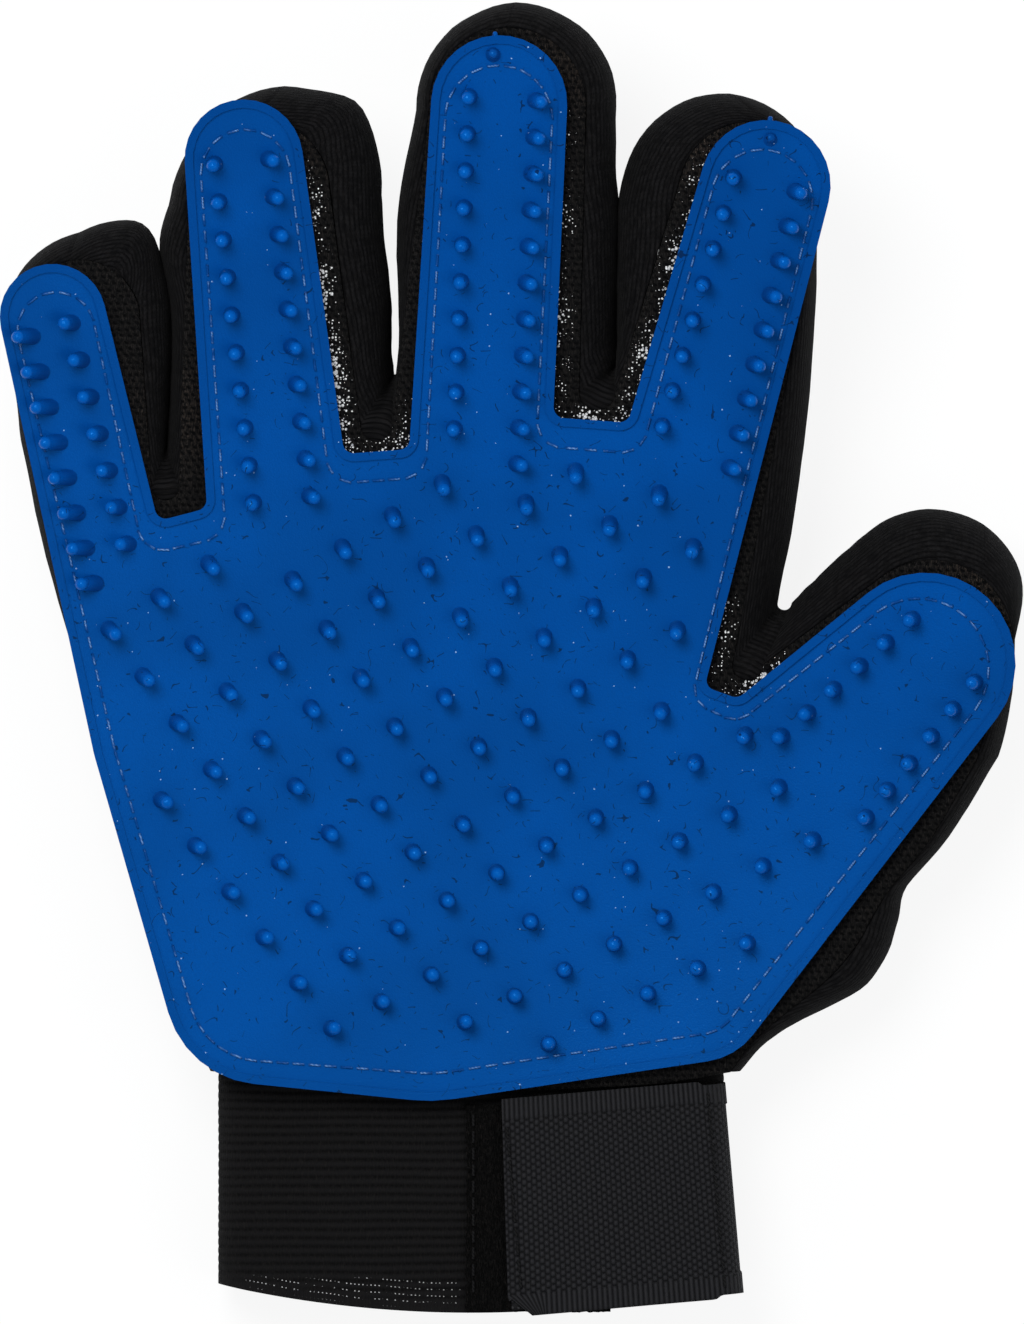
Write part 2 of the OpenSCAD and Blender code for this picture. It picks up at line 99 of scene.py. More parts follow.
soft_light("key", (-0.22, 0.28, 0.78), 0.4, 5.2)
soft_light("fill", (0.7, -0.3, 1.2), 0.9, 3.2)

floor_mesh = bpy.data.meshes.new("floor")
floor_mesh.from_pydata([(-3, -3, -0.0003), (3, -3, -0.0003), (3, 3, -0.0003), (-3, 3, -0.0003)],
                       [], [(0, 1, 2, 3)])
floor = bpy.data.objects.new("floor", floor_mesh)
bpy.context.scene.collection.objects.link(floor)
floor_mat = bpy.data.materials.new("pale_floor")
floor_mat.use_nodes = True
ft = floor_mat.node_tree
ft.nodes.clear()
f_out = ft.nodes.new("ShaderNodeOutputMaterial")
f_matt = ft.nodes.new("ShaderNodeBsdfDiffuse")
f_matt.inputs["Color"].default_value = (0.93, 0.93, 0.93, 1)
f_white = ft.nodes.new("ShaderNodeEmission")
f_white.inputs["Color"].default_value = (1, 1, 1, 1)
f_white.inputs["Strength"].default_value = 1
f_path = ft.nodes.new("ShaderNodeLightPath")
f_share = ft.nodes.new("ShaderNodeMath")
f_share.operation = "MULTIPLY"
f_share.inputs[1].default_value = 0.88
f_mix = ft.nodes.new("ShaderNodeMixShader")
ft.links.new(f_path.outputs["Is Camera Ray"], f_share.inputs[0])
ft.links.new(f_share.outputs[0], f_mix.inputs[0])
ft.links.new(f_matt.outputs[0], f_mix.inputs[1])
ft.links.new(f_white.outputs[0], f_mix.inputs[2])
ft.links.new(f_mix.outputs[0], f_out.inputs[0])
floor_mesh.materials.append(floor_mat)

# ---- silicone pad ----
# The pad is one piece of blue silicone moulded with its pins and its rolled lip. The solid
# has its form; here it gets its semi-gloss skin, dust specks and shed hairs, with a painted
# highlight on the pin heads and painted shade low on the pins.


def node_tools(tree):
    """Short calls for adding and joining nodes of one tree."""
    def add(kind, **values):
        n = tree.nodes.new(kind)
        for k, v in values.items():
            if k == "op":
                n.operation = v
            elif hasattr(n, k) and k not in n.inputs:
                setattr(n, k, v)
            else:
                n.inputs[k].default_value = v
        return n

    def maths(op, a, b=None, c=None, clamp=False):
        n = tree.nodes.new("ShaderNodeMath")
        n.operation = op
        n.use_clamp = clamp
        for i, v in enumerate((a, b, c)):
            if v is None:
                continue
            if isinstance(v, (int, float)):
                n.inputs[i].default_value = v
            else:
                tree.links.new(v, n.inputs[i])
        return n.outputs[0]

    def fit(value, a, b, c=0, d=1):
        n = tree.nodes.new("ShaderNodeMapRange")
        n.interpolation_type = "SMOOTHSTEP"
        for i, v in zip((1, 2, 3, 4), (a, b, c, d)):
            n.inputs[i].default_value = v
        tree.links.new(value, n.inputs[0])
        return n.outputs[0]

    def mixed(share, a, b):
        n = tree.nodes.new("ShaderNodeMix")
        n.data_type = "RGBA"
        for socket, v in ((n.inputs[0], share), (n.inputs[6], a), (n.inputs[7], b)):
            if isinstance(v, (int, float)):
                socket.default_value = v
            elif isinstance(v, tuple):
                socket.default_value = (*v, 1)
            else:
                tree.links.new(v, socket)
        return n.outputs[2]

    return add, maths, fit, mixed, tree.links.new


def group(name, ins, outs):
    """An empty node group with its sockets, as (tree, inputs node, outputs node)."""
    tree = bpy.data.node_groups.new(name, "ShaderNodeTree")
    for kind, way in ((ins, "INPUT"), (outs, "OUTPUT")):
        for label, socket in kind:
            tree.interface.new_socket(label, in_out=way, socket_type="NodeSocket" + socket)
    return tree, tree.nodes.new("NodeGroupInput"), tree.nodes.new("NodeGroupOutput")


# dust: small round specks, a few per square centimetre, from a place in millimetres
dust, g_in, g_out = group("dust", [("Place", "Vector"), ("Pitch", "Float")],
                          [("Mask", "Float")])
add, maths, fit, mixed, link = node_tools(dust)
g_scale = add("ShaderNodeVectorMath", op="DIVIDE")
link(g_in.outputs[0], g_scale.inputs[0])
link(g_in.outputs[1], g_scale.inputs[1])
g_cell = add("ShaderNodeTexVoronoi", feature="F1", Scale=1.0)
link(g_scale.outputs[0], g_cell.inputs["Vector"])
g_pick = add("ShaderNodeSeparateColor")
link(g_cell.outputs["Color"], g_pick.inputs[0])
g_size = maths("MULTIPLY", g_pick.outputs[1], 0.085)
g_dot = maths("LESS_THAN", g_cell.outputs["Distance"], g_size)
g_some = maths("GREATER_THAN", g_pick.outputs[0], 0.45)
link(maths("MULTIPLY", g_dot, g_some), g_out.inputs[0])

# hairs: short thin curved lines from a place in millimetres
hairs, g_in, g_out = group("hair_scraps", [("Place", "Vector"), ("Size", "Float")],
                           [("Mask", "Float")])
add, maths, fit, mixed, link = node_tools(hairs)
g_masks = []
for shift in (0, 31.7):
    g_move = add("ShaderNodeVectorMath", op="ADD")
    g_move.inputs[1].default_value = (shift, shift * 0.7, 0)
    link(g_in.outputs[0], g_move.inputs[0])
    g_line = add("ShaderNodeTexNoise", Scale=0.32, Detail=0.0)
    g_cut = add("ShaderNodeTexNoise", Scale=0.55, Detail=0.0)
    g_cut.inputs["Distortion"].default_value = 0.6
    link(g_move.outputs[0], g_line.inputs["Vector"])
    link(g_move.outputs[0], g_cut.inputs["Vector"])
    g_near = maths("ABSOLUTE", maths("SUBTRACT", g_line.outputs[0], 0.5))
    g_thin = maths("LESS_THAN", g_near, maths("MULTIPLY", g_in.outputs[1], 0.0075))
    g_masks.append(maths("MULTIPLY", g_thin, maths("GREATER_THAN", g_cut.outputs[0], 0.67)))
link(maths("MAXIMUM", *g_masks), g_out.inputs[0])


def use_group(tree, made, **values):
    n = tree.nodes.new("ShaderNodeGroup")
    n.node_tree = made
    for k, v in values.items():
        n.inputs[k].default_value = v
    return n


def new_material(name, **sockets):
    """A material with one plain surface shader and node_tools for its tree."""
    mat = bpy.data.materials.new(name)
    mat.use_nodes = True
    shader = mat.node_tree.nodes["Principled BSDF"]
    for k, v in sockets.items():
        shader.inputs[k.replace("_", " ")].default_value = v
    return mat, shader, node_tools(mat.node_tree)


def dress(node, mat):
    """Gives a solid that stays its finished material."""
    o = nodes[node]
    if not o.material_slots:
        o.data.materials.append(None)
    for s in o.material_slots:
        s.link = "OBJECT"
        s.material = mat


# the hollow the palm is bent into, in mm: radius, middle, and height at the middle
CUP_R, CUP_X, CUP_Y, PALM_Z = 520, 10, -58, 22

silicone, shader, (add, maths, fit, mixed, link) = new_material(
    "blue_silicone", Roughness=0.3, Specular_IOR_Level=0.4,
    Specular_Tint=(0.05, 0.35, 0.8, 1.0))
place = add("ShaderNodeTexCoord")
in_mm = add("ShaderNodeVectorMath", op="SCALE", Scale=1000.0)
link(place.outputs["Object"], in_mm.inputs[0])
cloud = add("ShaderNodeTexNoise", Scale=0.03, Detail=3.0)
link(in_mm.outputs[0], cloud.inputs["Vector"])
grain = add("ShaderNodeTexNoise", Scale=3.0, Detail=4.0)
link(in_mm.outputs[0], grain.inputs["Vector"])
blue = mixed(fit(cloud.outputs[0], 0.35, 0.65), (0.0, 0.045, 0.22), (0.0, 0.055, 0.268))
blue = mixed(fit(grain.outputs[0], 0.3, 0.75, 0, 0.4), blue, (0.0, 0.038, 0.195))
xyz = add("ShaderNodeSeparateXYZ")
link(in_mm.outputs[0], xyz.inputs[0])
from_x = maths("SUBTRACT", xyz.outputs[0], CUP_X)
from_y = maths("SUBTRACT", xyz.outputs[1], CUP_Y)
reach = maths("ADD", maths("MULTIPLY", from_x, from_x), maths("MULTIPLY", from_y, from_y))
cup = maths("SUBTRACT", CUP_R, maths("SQRT", maths("SUBTRACT", (CUP_R - PALM_Z) ** 2, reach)))
stand = maths("SUBTRACT", xyz.outputs[2], cup)
# painted highlight: the pin heads are lighter by their height above the pad
blue = mixed(fit(stand, 4.0, 6.8), blue, (0.0, 0.075, 0.35))
# painted shade: a darker band on the lower sides of each pin, just above the pad
blue = mixed(maths("MULTIPLY", fit(stand, 2.0, 2.6), fit(stand, 3.2, 4.6, 0.35, 0)), blue,
             (0.0, 0.03, 0.16))
specks = use_group(silicone.node_tree, dust, Pitch=1.9)
link(in_mm.outputs[0], specks.inputs[0])
scraps = use_group(silicone.node_tree, hairs, Size=1.5)
link(in_mm.outputs[0], scraps.inputs[0])
low = maths("MULTIPLY", fit(xyz.outputs[1], 20, 60, 1, 0.3), fit(xyz.outputs[0], -70, -20, 0.25, 1))
few = maths("GREATER_THAN", maths("MULTIPLY", scraps.outputs[0], low), 0.2)
blue = mixed(maths("MULTIPLY", few, 0.8), blue, (0.002, 0.006, 0.028))
blue = mixed(maths("MULTIPLY", specks.outputs[0], 0.6), blue, (0.35, 0.52, 0.75))
link(blue, shader.inputs["Base Color"])
gloss = maths("SUBTRACT", fit(grain.outputs[0], 0.3, 0.7, 0.3, 0.42), fit(stand, 4.4, 6.2, 0, 0.14))
link(gloss, shader.inputs["Roughness"])
skin = add("ShaderNodeBump", Strength=0.5, Distance=0.0001)
link(grain.outputs[0], skin.inputs["Height"])
link(skin.outputs[0], shader.inputs["Normal"])
dress("silicone_pad", silicone)
roll = nodes["silicone_pad"].modifiers.new("rolled_lip", "BEVEL")
roll.width = 0.3 * MM
roll.segments = 3
roll.limit_method = "ANGLE"
roll.angle_limit = math.radians(55)
roll.harden_normals = False

# Two blunt mould nubs stick out of the pad's edge, at the middle and index fingertips.
# Each is a short taper of the same silicone, moulded with the pad, with a rounded end.
NUB_FOOT_R, NUB_TIP_R, NUB_LEN, NUB_ROUND, NUB_LIFT = 0.85, 0.35, 2.2, 0.2, 1.2
bpy.ops.mesh.primitive_cone_add(vertices=24, radius1=NUB_FOOT_R * MM, radius2=NUB_TIP_R * MM,
                                depth=NUB_LEN * MM)
nub = bpy.context.object
bpy.ops.object.mode_set(mode="EDIT")
bpy.ops.mesh.select_mode(type="EDGE")
bpy.ops.mesh.select_all(action="DESELECT")
bpy.ops.object.mode_set(mode="OBJECT")
for edge in nub.data.edges:
    edge.select = all(nub.data.vertices[v].co.z > 0 for v in edge.vertices)
bpy.ops.object.mode_set(mode="EDIT")
bpy.ops.mesh.bevel(offset=NUB_ROUND * MM, segments=3, affect="EDGES")
bpy.ops.object.mode_set(mode="OBJECT")
nub.select_set(False)
for name, x, y, turn in (("nub_middle", -3.0, 111.9, 2), ("nub_index", 46.3, 96.8, -4)):
    z = float(CUP_R - math.sqrt((CUP_R - PALM_Z - NUB_LIFT) ** 2
                                - (x - CUP_X) ** 2 - (y - CUP_Y) ** 2))
    stub = bpy.data.objects.new(name, nub.data.copy())
    bpy.context.scene.collection.objects.link(stub)
    stub.data.transform(Matrix.Translation((x * MM, y * MM, z * MM))
                        @ Matrix.Rotation(math.radians(turn), 4, "Z")
                        @ Matrix.Rotation(math.radians(-90), 4, "X"))
    stub.data.materials.append(silicone)
    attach(stub, "glove")
bpy.data.objects.remove(nub)

# ---- pad stitching ----
# One line of short pale stitches holds the pad down, a little inside its lip.
thread, shader, (add, maths, fit, mixed, link) = new_material(
    "pale_thread", Roughness=0.8, Specular_IOR_Level=0.1)
place = add("ShaderNodeTexCoord")
twist = add("ShaderNodeTexWave", bands_direction="DIAGONAL", Scale=900.0, Distortion=0.5)
link(place.outputs["Object"], twist.inputs["Vector"])
worn = add("ShaderNodeTexNoise", Scale=420.0, Detail=3.0)
link(place.outputs["Object"], worn.inputs["Vector"])
pale = mixed(twist.outputs[1], (0.03, 0.12, 0.34), (0.13, 0.25, 0.5))
link(mixed(fit(worn.outputs[0], 0.4, 0.62), (0.0, 0.045, 0.21), pale), shader.inputs["Base Color"])
ply = add("ShaderNodeBump", Strength=0.5, Distance=0.00008)
link(twist.outputs[1], ply.inputs["Height"])
link(ply.outputs[0], shader.inputs["Normal"])
dress("pad_stitching", thread)
pulled = nodes["pad_stitching"].modifiers.new("pulled_tight", "DISPLACE")
pulled.mid_level = 0
pulled.strength = -0.09 * MM

# ---- palm mesh ----
# The palm side is one sheet of dark open mesh, bent to the cupped hand. It shows as a
# band round the pad and in the slots between its fingers, where light comes through.
FABRIC_T, PANEL_GAP = 1.2, 0.2
# radius of the back's bend, and how far the back is pressed flat on the table
BACK_R, BACK_SINK = 420, 5
# fingertips: x, y, radius, first and last angle, at the mesh edge, widest line and back
TIPS = [
    [(-77.6, 61.2, 11, 188, 12), (-76.2, 62.2, 14.9, 186, 6), (-76.6, 60, 9, 188, 10)],
    [(-45.4, 84.6, 12.8, 184, 2), (-40.6, 84.8, 18.8, 184, -2), (-41.4, 84, 11, 184, 0)],
    [(-0.8, 99.6, 14.2, 182, -2), (1, 100.5, 18.1, 184, -2), (1, 98.6, 11.5, 184, -2)],
    [(42.8, 84.2, 12.8, 166, -14), (37.6, 84.4, 18, 180, -10), (39, 83, 11, 176, -10)],
    [(75.4, 3.6, 14.8, 132, -36), (75.4, 11.5, 16.4, 128, -20), (74, 6, 10.5, 130, -30)],
]
CROTCH = [
    [(-62.4, 31.6, 2.4), (-62.3, 38.4, 0.35), (-62.4, 32, 3.4)],
    [(-24.4, 42.6, 2.8), (-21.5, 51.5, 0.5), (-21.6, 45, 4)],
    [(15.4, 48.6, 3.2), (18.8, 53.5, 0.35), (17.6, 48, 4)],
    [(42.6, -0.4, 2.8), (49.4, 10.6, 1.2), (46.4, 2.6, 4.4)],
]
# how far each finger's left and right side bow out at the widest line, which is drawn
# to the photographed cloth
BOW = [(0, 0), (0, 0.3), (1, 0), (0, 2), (0.6, 1.2)]
LEFT = [
    [(-50.6, -74), (-55.4, -67.4), (-59.8, -59.4), (-66.2, -35.4), (-71.6, -17.2),
     (-76.2, -0.8), (-81.6, 18.6), (-85.6, 40)],
    [(-54.6, -74), (-58.4, -67.4), (-62.6, -59.4), (-69, -35), (-74.4, -17), (-79, 0),
     (-84.4, 19), (-88.8, 40)],
    [(-48, -74), (-51.6, -66.4), (-55, -57.8), (-61, -35.6), (-66.2, -18), (-71, -2),
     (-77, 18), (-82, 39)],
]
RIGHT = [
    [(84, -17.4), (76, -31.4), (68.6, -40.6), (65.4, -45.6), (62.4, -51), (57.4, -57),
     (49.6, -63.4), (43.6, -68.6), (39.6, -74)],
    [(88.2, -17.1), (79.4, -31.7), (71.8, -40.5), (70.2, -46.8), (67.6, -54), (63.2, -59.4),
     (53, -64.8), (46.4, -68.8), (41.4, -74)],
    [(78, -15.6), (70.4, -28), (63.4, -37), (60, -43), (56.6, -49), (51.6, -55),
     (45.4, -61.4), (40.4, -67.6), (36.6, -74)],
]
WRIST = [(25, -76.2), (0, -77.4), (-20, -77.2), (-40, -75.6)]
# circles the pad outline runs round, clockwise: x, y, radius, minus inside a slot
PAD = [
    (-44.7, -58.2, 18), (-64.6, -14, 11), (-82.4, 61.9, 9.5), (-62.3, 27.8, -2),
    (-57, 29.2, -2), (-48.1, 90.2, 10.6), (-28.5, 39.6, -2), (-20.4, 40.2, -2),
    (-2.3, 100.1, 12.2), (9.5, 45.9, -2), (19.4, 45.2, -2), (45.5, 85.5, 11.7),
    (36.9, -3.3, -1.8), (40.3, -4.1, -2.2), (74.4, -0.2, 16.3), (33.5, -59.6, 12.6),
    (-15, -49.2, 30),
]
TIP_N, SIDE_N, CROTCH_N, TABLE_N = 28, 22, 12, 5


def cup_z(x, y, h=PALM_Z):
    return CUP_R - np.sqrt((CUP_R - h) ** 2 - (x - CUP_X) ** 2 - (y - CUP_Y) ** 2)


def back_z(x, y):
    return np.maximum(0, BACK_R - BACK_SINK
                      - np.sqrt(BACK_R ** 2 - (x - CUP_X) ** 2 - (y - CUP_Y) ** 2))


def smooth_run(table, n):
    """A table's points with n - 1 more between each two, on a smooth curve."""
    p = np.array(table, float)
    q = np.vstack([2 * p[0] - p[1], p, 2 * p[-1] - p[-2]])
    out = []
    for i in range(len(p) - 1):
        for t in np.arange(n) / n:
            a, b, c, d = q[i:i + 4]
            out.append(0.5 * (2 * b + (c - a) * t + (2 * a - 5 * b + 4 * c - d) * t ** 2
                              + (3 * b - a - 3 * c + d) * t ** 3))
    return np.array(out + [p[-1]])


def polar(c, r, degrees):
    a = np.radians(degrees)
    return np.stack([c[0] + r * np.cos(a), c[1] + r * np.sin(a)], -1)


def tip(t):
    return polar(t, t[2], np.linspace(t[3], t[4], TIP_N + 1))


def between(a, b, bow=0.0):
    t = np.arange(1, SIDE_N)[:, None] / SIDE_N
    d = (b - a) / np.linalg.norm(b - a)
    return a + (b - a) * t + np.array([-d[1], d[0]]) * bow * np.sin(np.pi * t)


def strip_rows(f):
    """The three rows of side strip f, 0 the little-finger side, 5 the thumb side."""
    rows = []
    for k in range(3):
        if f == 0:
            a, b = smooth_run(LEFT[k], TABLE_N), tip(TIPS[0][k])[:TIP_N // 2 + 1]
            rows.append(np.vstack([a, between(a[-1], b[0]), b]))
        elif f == 5:
            a, b = tip(TIPS[4][k])[TIP_N // 2:], smooth_run(RIGHT[k], TABLE_N)
            rows.append(np.vstack([a, between(a[-1], b[0], BOW[4][1] * (k == 1)), b]))
        else:
            a, b = tip(TIPS[f - 1][k])[TIP_N // 2:], tip(TIPS[f][k])[:TIP_N // 2 + 1]
            c = CROTCH[f - 1][k]
            c = polar(c, c[2], np.linspace(180, 360, CROTCH_N + 1))
            rows.append(np.vstack([a, between(a[-1], c[0], BOW[f - 1][1] * (k == 1)), c,
                                   between(c[-1], b[0], BOW[f][0] * (k == 1)), b]))
    return rows


STRIPS = [strip_rows(f) for f in range(6)]
# where the loose cloth bulges beyond its plain form: x, y, reach, across, up the hand
BULGE = [(-66, 74, 8, 3.4, 3.6), (-60.5, 77, 11, -4.2, 0), (-28, 99, 6, 0.9, 1.8),
         (-20, 82, 15, -1.4, 0), (-22, 62, 12, 0.5, 0), (87, 14, 8, 1, 0.8)]


def bulged(line):
    """A strip's widest line, drawn out where the cloth bulges."""
    for x, y, reach, dx, dy in BULGE:
        near = np.exp(-((line[:, 0] - x) ** 2 + (line[:, 1] - y) ** 2) / reach ** 2)[:, None]
        line = line + near * (dx, dy)
    return line


def pad_line(s, step=6):
    """The pad's outline drawn in by s."""
    def facing(a, b):
        d = (b[0] - a[0], b[1] - a[1])
        return math.degrees(math.atan2(d[1], d[0])
                            + math.acos((a[2] - b[2]) / math.hypot(*d)))
    out, n = [], len(PAD)
    for i, c in enumerate(PAD):
        a, b = facing(PAD[i - 1], c), facing(c, PAD[(i + 1) % n])
        t = (b - a + 720) % 360
        if c[2] > 0 and t:
            t -= 360
        m = max(1, math.ceil(abs(t) / step))
        out.append(polar(c, c[2] - s, np.linspace(a, a + t, m + 1)))
    return np.vstack(out)


def inside(points, loop):
    """Which points lie in a closed loop."""
    x, y = points[:, 0], points[:, 1]
    hit = np.zeros(len(points), bool)
    for (x1, y1), (x2, y2) in zip(loop, np.roll(loop, -1, 0)):
        if y1 != y2:
            hit ^= ((y1 > y) != (y2 > y)) & (x < (x2 - x1) * (y - y1) / (y2 - y1) + x1)
    return hit


def away(points, loop):
    """Distance from each point to a closed loop, minus inside it."""
    best = np.full(len(points), 1e9)
    for a, b in zip(loop, np.roll(loop, -1, 0)):
        d = b - a
        t = np.clip(((points - a) @ d) / max(d @ d, 1e-9), 0, 1)[:, None]
        best = np.minimum(best, np.linalg.norm(points - (a + t * d), axis=1))
    return np.where(inside(points, loop), -best, best)


def rough(x, y, z=0.0, size=10.0):
    """Smooth noise from -1 to 1 that changes over about size millimetres."""
    return noise.noise(Vector((x / size, y / size, z / size)))


def new_piece(name, points, faces, flat, **values):
    """A mesh piece from points in mm, with its flat cut as UV in tenths of a metre."""
    me = bpy.data.meshes.new(name)
    me.from_pydata((np.array(points) * MM).tolist(), [], faces)
    uv = me.uv_layers.new(name="flat")
    flat = np.array(flat, float) * 0.01
    corner = np.zeros(len(me.loops), np.int32)
    me.loops.foreach_get("vertex_index", corner)
    uv.data.foreach_set("uv", flat[corner].ravel())
    for label, v in values.items():
        a = me.attributes.new(label, "FLOAT", "POINT")
        a.data.foreach_set("value", np.array(v, np.float32))
    me.polygons.foreach_set("use_smooth", [True] * len(me.polygons))
    me.update()
    o = bpy.data.objects.new(name, me)
    bpy.context.scene.collection.objects.link(o)
    return o


def thicken(o, t, rim=True):
    m = o.modifiers.new("thickness", "SOLIDIFY")
    m.thickness = t * MM
    m.offset = -1
    m.use_rim = rim
    return o


def finish_piece(o, body, mat, slot, *replaced):
    o.data.materials.append(mat)
    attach(o, body)
    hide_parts(*replaced)
    return o


def panel(k, step):
    """Points and triangles of a flat panel inside row k of the strips, in plan."""
    row, mid = np.vstack([s[k] for s in STRIPS]), np.vstack([s[1] for s in STRIPS])
    d = row - mid
    edge = row + d / np.maximum(np.linalg.norm(d, axis=1), 1e-3)[:, None] * PANEL_GAP
    edge = edge[np.r_[True, np.linalg.norm(np.diff(edge, axis=0), axis=1) > 0.05]]
    wrist = smooth_run([edge[-1], *WRIST, edge[0]], 10)[1:-1]
    loop = np.vstack([edge, wrist])
    lo, hi = loop.min(0), loop.max(0)
    grid = []
    for j, y in enumerate(np.arange(lo[1], hi[1], step * 0.866)):
        for x in np.arange(lo[0] + (j % 2) * step / 2, hi[0], step):
            grid.append((x, y))
    grid = np.array(grid)
    grid = grid[away(grid, loop) < -0.55 * step]
    n = len(loop)
    made = geometry.delaunay_2d_cdt(
        [Vector(p) for p in np.vstack([loop, grid])],
        [(i, (i + 1) % n) for i in range(n)], [list(range(n))], 1, 1e-5)
    return np.array([tuple(v) for v in made[0]]), [list(f) for f in made[2]]


# knit mesh: rows of small holes from a place in millimetres
holes, g_in, g_out = group("mesh_holes", [("Place", "Vector"), ("Pitch", "Float")],
                           [("Hole", "Float"), ("Height", "Float")])
add, maths, fit, mixed, link = node_tools(holes)
g_xyz = add("ShaderNodeSeparateXYZ")
link(g_in.outputs[0], g_xyz.inputs[0])
g_y = maths("DIVIDE", g_xyz.outputs[1], maths("MULTIPLY", g_in.outputs[1], 0.866))
g_x = maths("ADD", maths("DIVIDE", g_xyz.outputs[0], g_in.outputs[1]),
            maths("MULTIPLY", g_y, 0.5))
g_at = add("ShaderNodeCombineXYZ")
link(g_x, g_at.inputs[0])
link(g_y, g_at.inputs[1])
g_cell = add("ShaderNodeTexVoronoi", voronoi_dimensions="2D", Scale=1.0, Randomness=0.25)
link(g_at.outputs[0], g_cell.inputs["Vector"])
link(fit(g_cell.outputs["Distance"], 0.2, 0.32, 1, 0), g_out.inputs[0])
link(fit(g_cell.outputs["Distance"], 0.15, 0.5), g_out.inputs[1])

# fuzz: fine tangled fibres from a place in millimetres
fuzz, g_in, g_out = group("fuzz", [("Place", "Vector")], [("Fibre", "Float")])
add, maths, fit, mixed, link = node_tools(fuzz)
g_fibres = []
for turn in (0.3, 1.7, 2.6):
    g_map = add("ShaderNodeMapping")
    g_map.inputs["Rotation"].default_value = (0, 0, turn)
    g_map.inputs["Scale"].default_value = (5.5, 0.9, 3)
    link(g_in.outputs[0], g_map.inputs["Vector"])
    g_n = add("ShaderNodeTexNoise", Scale=1.0, Detail=2.0, Distortion=0.7)
    link(g_map.outputs[0], g_n.inputs["Vector"])
    g_fibres.append(fit(g_n.outputs[0], 0.52, 0.72))
link(maths("MAXIMUM", maths("MAXIMUM", g_fibres[0], g_fibres[1]), g_fibres[2]),
     g_out.inputs[0])


# pinholes: a field of uneven specks, low in their middles, from a place in millimetres
pinholes, g_in, g_out = group("pinholes", [("Place", "Vector"), ("Pitch", "Float")],
                              [("Edge", "Float")])
add, maths, fit, mixed, link = node_tools(pinholes)
g_scale = add("ShaderNodeVectorMath", op="DIVIDE")
link(g_in.outputs[0], g_scale.inputs[0])
link(g_in.outputs[1], g_scale.inputs[1])
g_bend = add("ShaderNodeTexNoise", Scale=1.6, Detail=1.0)
link(g_scale.outputs[0], g_bend.inputs["Vector"])
g_cell = add("ShaderNodeTexVoronoi", voronoi_dimensions="2D", Scale=1.0)
link(g_scale.outputs[0], g_cell.inputs["Vector"])
g_pick = add("ShaderNodeSeparateColor")
link(g_cell.outputs["Color"], g_pick.inputs[0])
link(maths("ADD", maths("ADD", g_cell.outputs["Distance"],
                        maths("MULTIPLY", g_pick.outputs[0], 0.45)),
           maths("MULTIPLY", g_bend.outputs[0], 0.25)), g_out.inputs[0])


def flat_mm(add, link):
    """The place on a piece's flat cut, in millimetres."""
    uv = add("ShaderNodeUVMap", uv_map="flat")
    n = add("ShaderNodeVectorMath", op="SCALE", Scale=100.0)
    link(uv.outputs[0], n.inputs[0])
    return n.outputs[0]


open_mesh, shader, (add, maths, fit, mixed, link) = new_material(
    "open_mesh", Roughness=0.85, Specular_IOR_Level=0.04, Sheen_Weight=0.02,
    Sheen_Roughness=0.5)
on_cloth = flat_mm(add, link)
net = use_group(open_mesh.node_tree, holes, Pitch=1.35)
link(on_cloth, net.inputs[0])
fibre = use_group(open_mesh.node_tree, fuzz)
link(on_cloth, fibre.inputs[0])
brown = add("ShaderNodeAttribute", attribute_name="brown")
dark = mixed(maths("MULTIPLY", fibre.outputs[0], 0.8), (0.003, 0.003, 0.0032),
             (0.02, 0.0175, 0.016))
dark = mixed(maths("MULTIPLY", fibre.outputs[0], brown.outputs["Fac"]), dark, (0.062, 0.045, 0.034))
dark = mixed(net.outputs["Hole"], dark, (0.001, 0.001, 0.0012))
light_at = add("ShaderNodeAttribute", attribute_name="see")
specks = use_group(open_mesh.node_tree, pinholes, Pitch=0.6)
link(on_cloth, specks.inputs[0])
patch = add("ShaderNodeTexNoise", Scale=0.42, Detail=2.0)
link(on_cloth, patch.inputs["Vector"])
wanted = maths("MULTIPLY", light_at.outputs["Fac"], fit(patch.outputs[0], 0.3, 0.55, 0.35, 1))
gleam = maths("LESS_THAN", specks.outputs["Edge"], maths("MULTIPLY", wanted, 0.8))
link(mixed(gleam, dark, (0.78, 0.78, 0.77)), shader.inputs["Base Color"])
loops = add("ShaderNodeBump", Strength=0.9, Distance=0.0004)
link(net.outputs["Height"], loops.inputs["Height"])
strands = add("ShaderNodeBump", Strength=0.7, Distance=0.0002)
link(fibre.outputs[0], strands.inputs["Height"])
link(loops.outputs[0], strands.inputs["Normal"])
link(strands.outputs[0], shader.inputs["Normal"])

plan, faces = panel(0, 2.2)
outline = pad_line(0)
off = away(plan, outline)
lift = np.clip((off - 0.3) / 2, 0, 1) * np.array([0.25 + 0.35 * rough(*p, 3.0, 7) for p in plan])
z = cup_z(plan[:, 0], plan[:, 1]) + np.where(off > 0, lift, 0)
# where light comes through beside the pad, and where the fingertips are rubbed brown:
# x, y, reach, strength
BRIGHT = [(-35, 84, 7, 0.8), (-34.5, 68, 8, 1), (-33, 52, 8, 1), (-24, 41, 8, 1),
          (10.5, 96, 6, 0.5), (10.5, 80, 7, 0.7), (10, 62, 8, 0.8), (15, 46.5, 8, 1),
          (30.5, 88, 8, 0.7), (28.5, 72, 8, 0.9), (25.5, 56, 7, 0.8), (42, 0, 7, 1),
          (40, 9, 5, 0.6), (48, -5, 5, 0.6), (78, 16, 5, 0.3), (-14, 92, 5, 0.3)]
BROWN = [(-33, 101, 9, 0.8), (14, 110, 9, 0.6), (30, 97, 8, 1), (85, 14, 10, 0.5),
         (-66, 80, 8, 0.4), (-58, 45, 9, 0.4)]


